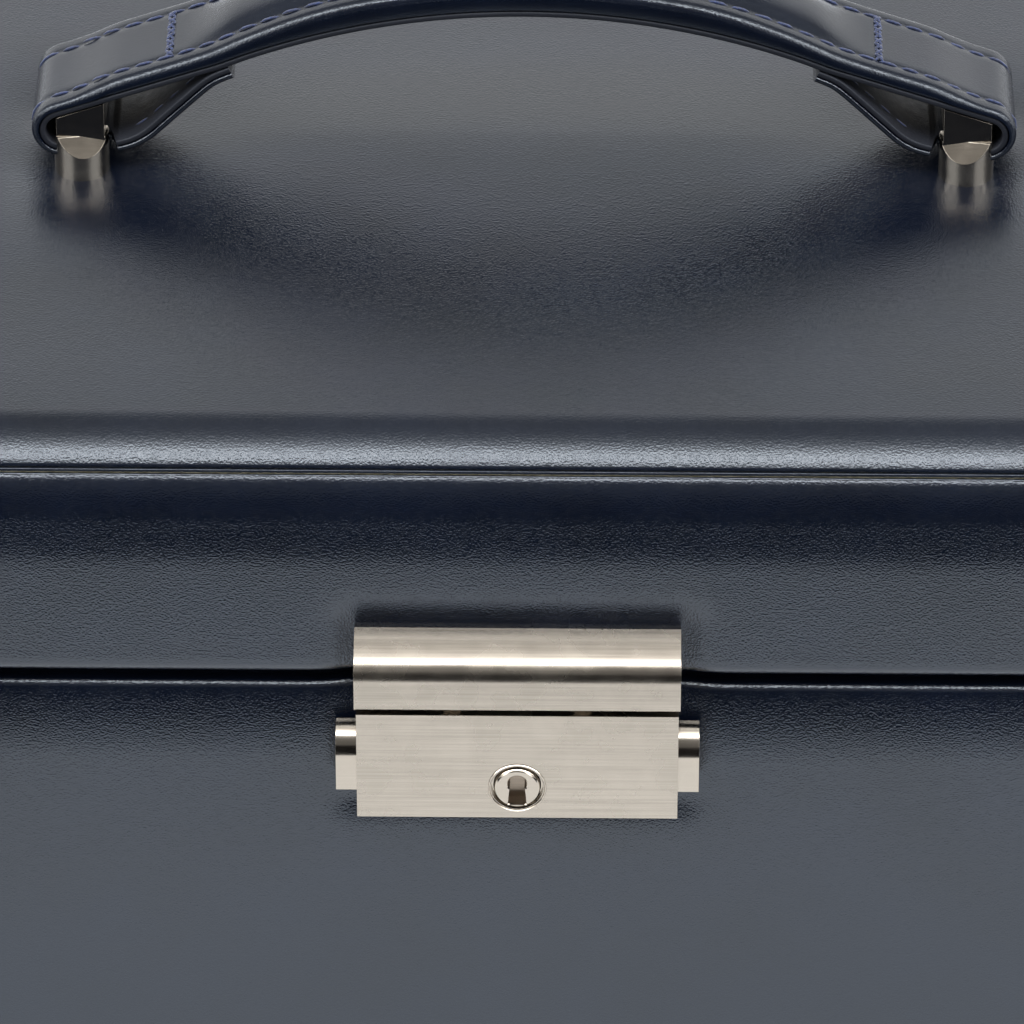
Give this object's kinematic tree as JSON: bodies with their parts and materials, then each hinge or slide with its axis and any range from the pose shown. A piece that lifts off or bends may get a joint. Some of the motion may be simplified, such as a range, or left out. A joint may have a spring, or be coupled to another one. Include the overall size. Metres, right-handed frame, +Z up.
{
  "type": "leather jewellery case",
  "caption": "Leather-covered jewellery case with a padded hinged lid, arched strap handle, squeeze-button front lock, mirror and velvet compartments.",
  "frame": {"origin": "middle of the underside, at the bottom centre of the whole closed case", "axes": "+X to the right seen from the front, +Y from the front to the hinges at the back, +Z up"},
  "size_m": [0.232, 0.152, 0.1496],
  "materials": {
    "navy_leather": "semi-gloss fine grain",
    "strap_lining": "matt smooth",
    "nickel": "brushed nickel with polished edges",
    "hinge_nickel": "satin",
    "steel": "plain",
    "board": "plain",
    "foam": "open cell",
    "velvet": "short pile",
    "felt": "felted",
    "mirror": "polished"
  },
  "bodies": {
    "base": {"base_felt": "felt", "base_floor": "board", "base_front_board": "board", "base_rear_board": "board", "base_left_board": "board", "base_right_board": "board", "base_leather": "navy_leather", "base_lining": "velvet", "dust_collar": "velvet", "ring_platform": "velvet", "ring_roll_1": "velvet", "ring_roll_2": "velvet", "ring_roll_3": "velvet", "ring_roll_4": "velvet", "ring_roll_5": "velvet", "long_divider": "velvet", "front_divider": "velvet", "rear_divider_left": "velvet", "rear_divider_right": "velvet", "hinge_base_leaf_left": "hinge_nickel", "hinge_base_leaf_right": "hinge_nickel", "hinge_pin_left": "hinge_nickel", "hinge_pin_right": "hinge_nickel", "hinge_base_screws": "hinge_nickel", "lock_body": "nickel", "lock_housing": "steel", "lock_bezel": "nickel", "lock_spring": "steel", "lock_screws": "steel"},
    "lid": {"hinge_lid_leaf_left": "hinge_nickel", "hinge_lid_leaf_right": "hinge_nickel", "hinge_lid_screws": "hinge_nickel", "hasp_plate": "nickel", "hasp_screws": "steel", "lid_top_board": "board", "lid_front_board": "board", "lid_rear_board": "board", "lid_left_board": "board", "lid_right_board": "board", "lid_foam": "foam", "lid_side_leather": "navy_leather", "lid_top_leather": "navy_leather", "lid_lining": "velvet", "mirror_backing": "board", "mirror_glass": "mirror", "mirror_frame": "navy_leather", "handle_leather": "navy_leather", "handle_lining": "strap_lining", "handle_padding": "foam", "bracket_left": "nickel", "bracket_right": "nickel", "bracket_screws": "steel"},
    "button_left": {"button_left": "nickel"},
    "button_right": {"button_right": "nickel"},
    "key_cylinder": {"lock_cylinder": "nickel", "lock_cam": "steel"}
  },
  "joints": [
    {"name": "lid_hinge", "type": "hinge", "parent": "base", "child": "lid", "pos_m": [0, 0.0728, 0.0889], "axis": [-1, 0, 0], "range_deg": [0, 100]},
    {"name": "left_button_slide", "type": "slide", "parent": "base", "child": "button_left", "axis": [1, 0, 0], "range_m": [0, 0.002], "stiffness_N_per_m": 400, "springref_m": -0.001},
    {"name": "right_button_slide", "type": "slide", "parent": "base", "child": "button_right", "axis": [-1, 0, 0], "range_m": [0, 0.002], "stiffness_N_per_m": 400, "springref_m": -0.001},
    {"name": "key_turn", "type": "hinge", "parent": "base", "child": "key_cylinder", "pos_m": [0, -0.07, 0.07625], "axis": [0, -1, 0], "range_deg": [0, 90]}
  ]
}
